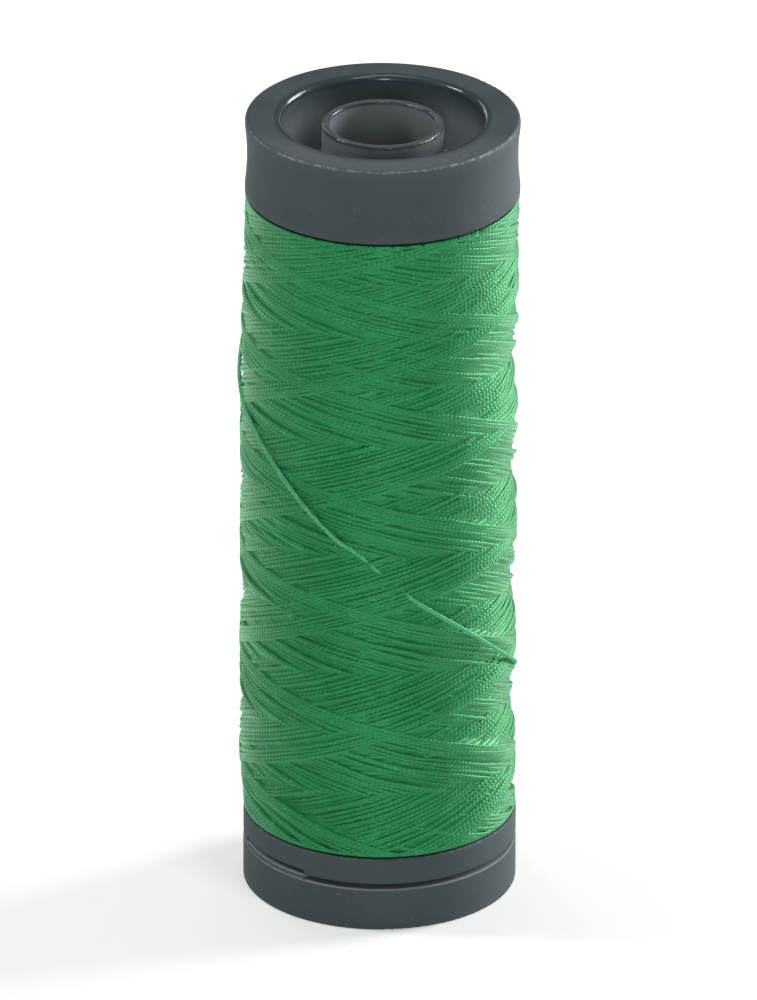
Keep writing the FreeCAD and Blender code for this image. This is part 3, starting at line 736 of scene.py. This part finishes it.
def charcoal_plastic(name, wear_and_highlights=(), polished=(), painted_fill=None):
    """Matte moulded plastic, paler or glossy along circles, lighter in its hollows.

    Pale and polished circles have radius, height and width. A pale one also has its
    whiteness, its evenness from 0, broken up, to 1, and the side where it shows; pale
    circles are rubbed wear, painted highlights and painted sheen. The painted fill is a
    lighter colour that lifts the shade in hollows: it lies inside its radius and below
    its height, and is full from its depth on.
    """
    nodes = Nodes(name)
    place = nodes.place()
    across, along, up = nodes.split(place)
    cloud = nodes.noise(place, scale=260.0, detail=4.0)
    grain = nodes.noise(place, scale=2600.0, detail=2.0)
    colour = nodes.mix(nodes.span(cloud, 0.3, 0.7), PLASTIC_DARK, PLASTIC_LIGHT)
    speck = nodes.span(grain, 0.66, 0.74, 0.0, 0.3)
    colour = nodes.mix(speck, colour, PLASTIC_SPECK)
    rough = nodes.span(cloud, 0.25, 0.75, 0.66, 0.8)
    radius = nodes.off_axis(across, along)
    # Painted fill light: the hollow inside the radius and below the height is coloured
    # lighter, lifting its shade.
    if painted_fill is not None:
        outer = painted_fill["radius"] + CLEARANCE
        inner = painted_fill["radius"] - CLEARANCE
        full = painted_fill["height"] - painted_fill["depth"]
        inside = nodes.span(radius, outer * MM, inner * MM)
        below = nodes.span(up, painted_fill["height"] * MM, full * MM)
        colour = nodes.mix(nodes.times(inside, below), colour, PLASTIC_PAINTED_FILL)
    scuff_and_glint_noise = nodes.noise(place, scale=2200.0, detail=5.0, roughness=0.7)
    # Pale circles: rubbed wear, and painted highlights and sheen that show on the front
    # only.
    for ring in wear_and_highlights:
        apart = nodes.off_circle(radius, up, ring)
        near = nodes.span(apart, ring["width"] * MM, 0.3 * ring["width"] * MM)
        broken_up = nodes.span(scuff_and_glint_noise, 0.46, 0.64, ring["evenness"], 1.0)
        amount = nodes.times(near, broken_up)
        if ring["side"] != ALL_ROUND:
            facing = nodes.times(along, float(ring["side"]))
            shown = nodes.span(facing, 1.0 * MM, 6.0 * MM, 0.08, 1.0)
            amount = nodes.times(amount, shown)
        pale = ring["whiteness"]
        colour = nodes.mix(amount, colour, (pale, pale * 1.16, pale * 1.2, 1))
    for ring in polished:
        apart = nodes.off_circle(radius, up, ring)
        core = 0.5 * ring["width"] * MM
        near = nodes.span(apart, ring["width"] * MM, core, 0.0, 0.56)
        rough = nodes.math("SUBTRACT", rough, near)
    height = nodes.math("MULTIPLY_ADD", cloud, 0.6, grain)
    nodes.settle(
        {
            "Base Color": colour,
            "Roughness": rough,
            "Specular IOR Level": 0.5,
            "Normal": nodes.bump(height, 0.5),
        }
    )
    return nodes.material


def thread_colour(name, painted_highlight):
    """Nodes of a new thread material and its uneven green."""
    nodes = Nodes(name)
    place = nodes.place()
    cloud = nodes.noise(place, scale=150.0, detail=3.0)
    patch = nodes.noise(place, scale=900.0, detail=3.0)
    colour = nodes.mix(nodes.span(cloud, 0.3, 0.7), THREAD_DARK, THREAD_LIGHT)
    # Painted highlight: the thread is made paler by this share.
    if painted_highlight:
        colour = nodes.mix(painted_highlight, colour, THREAD_LOOSE_HIGHLIGHT)
    patch = nodes.span(patch, 0.45, 0.75, 0.0, 0.4)
    return nodes, nodes.mix(patch, colour, THREAD_PATCH)


def thread_surface(nodes, colour, height):
    """Gives a thread material its colour, relief, gloss and sheen."""
    nodes.settle(
        {
            "Base Color": colour,
            "Roughness": nodes.span(height, 0.0, 1.4, 0.46, 0.32),
            "IOR": 1.6,
            "Specular IOR Level": 1.0,
            "Specular Tint": (0.1, 0.9, 0.3, 1),
            "Sheen Weight": 1.0,
            "Sheen Roughness": 0.3,
            "Sheen Tint": (0.42, 1.0, 0.56, 1),
            "Normal": nodes.bump(height, 0.7),
        }
    )
    return nodes.material


def thread_material(name, painted_highlight=0.0):
    """Dyed green thread with twisted plies along its strand layout."""
    nodes, colour = thread_colour(name, painted_highlight)
    node = nodes.add("ShaderNodeUVMap", uv_map="strand")
    length, around, _ = nodes.split(node.outputs[0])
    turned = nodes.math("ADD", nodes.times(length, PLIES / PLY_PITCH), around)
    twist = nodes.math("SINE", nodes.times(turned, 2 * math.pi))
    twist = nodes.math("MULTIPLY_ADD", twist, 0.5, 0.5)
    place = nodes.join(nodes.times(length, 1.2), nodes.times(turned, 6.0), 0.0)
    fibre = nodes.noise(place, scale=1.6, detail=2.0)
    place = nodes.join(nodes.times(length, 0.02), 0.5, 0.5)
    run = nodes.noise(place, scale=1.0, detail=2.0)
    # Painted shade: darker in the grooves between the plies.
    shade = nodes.span(twist, 0.0, 0.55, 0.28, 0.0)
    colour = nodes.mix(shade, colour, THREAD_PLY_SHADE)
    shade = nodes.span(run, 0.35, 0.65, 0.3, 0.0)
    colour = nodes.mix(shade, colour, THREAD_DULL_RUN)
    # Painted glints: short brighter dashes along the strands.
    place = nodes.join(nodes.times(length, 2.4), nodes.times(around, 2.0), 3.0)
    painted_glint = nodes.noise(place, scale=1.0, detail=1.0)
    painted_glint = nodes.span(painted_glint, 0.62, 0.74, 0.0, 0.6)
    colour = nodes.mix(painted_glint, colour, THREAD_PAINTED_GLINT)
    height = nodes.math("MULTIPLY_ADD", fibre, 0.5, twist)
    return thread_surface(nodes, colour, height)


def under_material(name):
    """The thread of the under layers, as level ridges, coloured darker as painted shade
    under the strands.
    """
    nodes, colour = thread_colour(name, 0.0)
    place = nodes.place()
    up = nodes.split(place)[2]
    ridges = 2 * math.pi / (THREAD_DIAMETER * MM)
    ridge = nodes.math("SINE", nodes.times(up, ridges))
    fibre = nodes.noise(place, scale=5000.0, detail=2.0)
    height = nodes.math("MULTIPLY_ADD", ridge, 0.5, fibre)
    return thread_surface(nodes, nodes.mix(0.25, colour, THREAD_UNDER_SHADE), height)


def cover_node(name, material):
    """Gives a CAD node its material through the object's own slots."""
    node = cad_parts[name]
    for slot in node.material_slots:
        slot.link = "OBJECT"
        slot.material = material


def make_stage():
    """Plain pale floor that shows white to the camera and keeps the shadow; its glow is
    dimmer near the spool, which paints shade round its foot.
    """
    size = 3.0
    near, far = 0.15, 0.8
    dim, bright = 0.32, 0.85
    mesh = bpy.data.meshes.new("floor")
    corners = [(-size, -size, 0), (size, -size, 0), (size, size, 0), (-size, size, 0)]
    mesh.from_pydata(corners, [], [(0, 1, 2, 3)])
    floor = bpy.data.objects.new("floor", mesh)
    bpy.context.scene.collection.objects.link(floor)
    nodes = Nodes("pale_floor")
    nodes.settle(
        {
            "Base Color": (0.86, 0.86, 0.86, 1),
            "Roughness": 0.9,
            "Specular IOR Level": 0.1,
        }
    )
    glow = nodes.add("ShaderNodeEmission")
    across, along, _ = nodes.split(nodes.place())
    # Painted shade: the glow fades from far to near the spool.
    level = nodes.span(nodes.off_axis(across, along), near, far, dim, bright)
    path = nodes.add("ShaderNodeLightPath").outputs
    seen = nodes.math("MAXIMUM", path["Is Camera Ray"], path["Is Glossy Ray"])
    seen = nodes.math("MAXIMUM", seen, path["Is Transmission Ray"])
    nodes.link(nodes.times(seen, level), glow.inputs["Strength"])
    both = nodes.add("ShaderNodeAddShader")
    nodes.link(nodes.shader.outputs[0], both.inputs[0])
    nodes.link(glow.outputs[0], both.inputs[1])
    nodes.link(both.outputs[0], nodes.output.inputs["Surface"])
    mesh.materials.append(nodes.material)


def make_world():
    """Surroundings that light the spool dimly and show white to the camera."""
    world = bpy.data.worlds.new("studio")
    bpy.context.scene.world = world
    world.use_nodes = True
    tree = world.node_tree
    tree.nodes.clear()
    path = tree.nodes.new("ShaderNodeLightPath")
    surround = tree.nodes.new("ShaderNodeBackground")
    surround.inputs["Strength"].default_value = 0.09
    seen = tree.nodes.new("ShaderNodeBackground")
    seen.inputs["Strength"].default_value = 1.0
    for node in (surround, seen):
        node.inputs["Color"].default_value = (1, 1, 1, 1)
    choose = tree.nodes.new("ShaderNodeMixShader")
    output = tree.nodes.new("ShaderNodeOutputWorld")
    tree.links.new(path.outputs["Is Camera Ray"], choose.inputs[0])
    tree.links.new(surround.outputs[0], choose.inputs[1])
    tree.links.new(seen.outputs[0], choose.inputs[2])
    tree.links.new(choose.outputs[0], output.inputs["Surface"])


def from_middle(azimuth, elevation):
    """Direction out from the spool: degrees round from the front, and degrees up."""
    turn = math.radians(azimuth)
    tilt = math.radians(elevation)
    level = math.cos(tilt)
    return Vector((math.sin(turn) * level, -math.cos(turn) * level, math.sin(tilt)))


def soft_light(name, azimuth, elevation, distance, width, height, power):
    """A white panel that faces the middle of the spool."""
    light = bpy.data.lights.new(name, "AREA")
    light.shape = "RECTANGLE"
    light.size = width
    light.size_y = height
    light.energy = power
    made = bpy.data.objects.new(name, light)
    middle = Vector((0, 0, 0.5 * RIM_HEIGHT * MM))
    away = from_middle(azimuth, elevation)
    made.location = middle + away * distance
    made.rotation_euler = away.to_track_quat("Z", "Y").to_euler()
    bpy.context.scene.collection.objects.link(made)


def make_camera():
    """Long lens from the front, looking down by about a quarter of a right angle."""
    camera = bpy.data.cameras.new("camera")
    camera.lens = 866.0
    camera.sensor_fit = "VERTICAL"
    camera.sensor_height = 36.0
    camera.clip_start = 0.05
    camera.clip_end = 20.0
    made = bpy.data.objects.new("camera", camera)
    target = Vector((-0.00017, 0, 0.02702))
    distance = 1.58
    roll = math.radians(0.268)
    made.location = target + distance * from_middle(azimuth=0, elevation=24.5)
    look = (target - made.location).to_track_quat("-Z", "Y")
    made.rotation_euler = (look @ Euler((0, 0, roll)).to_quaternion()).to_euler()
    bpy.context.scene.collection.objects.link(made)
    bpy.context.scene.camera = made


def circle(radius, height, **looks):
    """A circle round the axis in millimetres, with how it looks."""
    return {"radius": radius, "height": height, **looks}


def dress_plastic():
    """Charcoal plastic on the hard pieces: wear where hands reach it, painted
    highlights and sheen on the front, and painted fill light in the hollows.
    """
    # Front rim edge: pale broken specks, partly rubbed wear and partly a painted edge
    # highlight. Front of the rim face: a soft painted sheen.
    edge = circle(
        FLANGE_RADIUS - 0.04,
        RIM_HEIGHT - 0.04,
        width=0.16,
        evenness=0.12,
        whiteness=0.4,
        side=FRONT,
    )
    face = circle(
        FLANGE_RADIUS - 0.9,
        RIM_HEIGHT,
        width=1.3,
        evenness=0.75,
        whiteness=0.09,
        side=FRONT,
    )
    polished = [circle(RECESS_RADIUS + 0.1, RIM_HEIGHT - 0.1, width=0.5)]
    # Painted fill light: the recess below the rim is coloured lighter, lifting its
    # shade.
    painted_fill = circle(RECESS_RADIUS + 0.1, RIM_HEIGHT - 0.4, depth=2.2)
    top = charcoal_plastic("plastic_top", [edge, face], polished, painted_fill)
    cover_node("top_flange", top)

    looks = {"width": 0.16, "evenness": 0.0, "whiteness": 0.12, "side": ALL_ROUND}
    band = charcoal_plastic("plastic_band", [circle(FLANGE_RADIUS, PACK_FOOT, **looks)])
    cover_node("bottom_flange", band)

    # The cap's edges, at the slit and at the raised stretch, get a painted highlight on
    # the front; the slit gets painted fill light that lifts its shade.
    looks = {"width": 0.12, "evenness": 0.6, "whiteness": 0.2, "side": FRONT}
    heights = (CAP_EDGE_HEIGHT, RAISED_EDGE_HEIGHT)
    edges = [circle(FLANGE_RADIUS - 0.02, height, **looks) for height in heights]
    painted_fill = circle(FLANGE_RADIUS - 0.03, SLIT_FILL_HEIGHT, depth=0.1)
    cover_node("lock_cap", charcoal_plastic("plastic_cap", edges, painted_fill=painted_fill))

    # A paler ring round the sleeve's end; the bore and the sleeve below the ring get
    # painted fill light that lifts their shade.
    looks = {"width": 0.3, "evenness": 0.7, "whiteness": 0.1, "side": ALL_ROUND}
    end = (SLEEVE_RADIUS - 0.25, RIM_HEIGHT - 0.45)
    polished = [circle(*end, width=0.4)]
    painted_fill = circle(SLEEVE_RADIUS + 0.1, RIM_HEIGHT - 0.5, depth=0.3)
    sleeve = charcoal_plastic("plastic_sleeve", [circle(*end, **looks)], polished, painted_fill)
    cover_node("spindle_sleeve", sleeve)

    cover_node("barrel", charcoal_plastic("plastic_barrel"))


def dress_thread():
    """The wound thread in place of the plain thread solids."""
    surface = base_surface()
    winding = make_winding(surface)
    loose = make_loose_strand(surface)
    pack = make_pack_body(surface)
    strand = thread_material("green_thread_twisted")
    pack.data.materials.append(under_material("green_thread_under"))
    for piece in winding:
        piece.data.materials.append(strand)
    # The loose strand's paler colour is a painted highlight.
    loose.data.materials.append(thread_material("green_thread_loose", painted_highlight=0.9))
    for piece in winding + [loose, pack]:
        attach(piece, "spool")
    for piece in winding:
        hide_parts("thread_winding")
    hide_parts("thread_tail")
    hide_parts("thread_core")


dress_plastic()
dress_thread()
make_stage()
make_world()
for panel in PANELS:
    soft_light(*panel)
make_camera()
bpy.context.scene.view_settings.view_transform = "Standard"
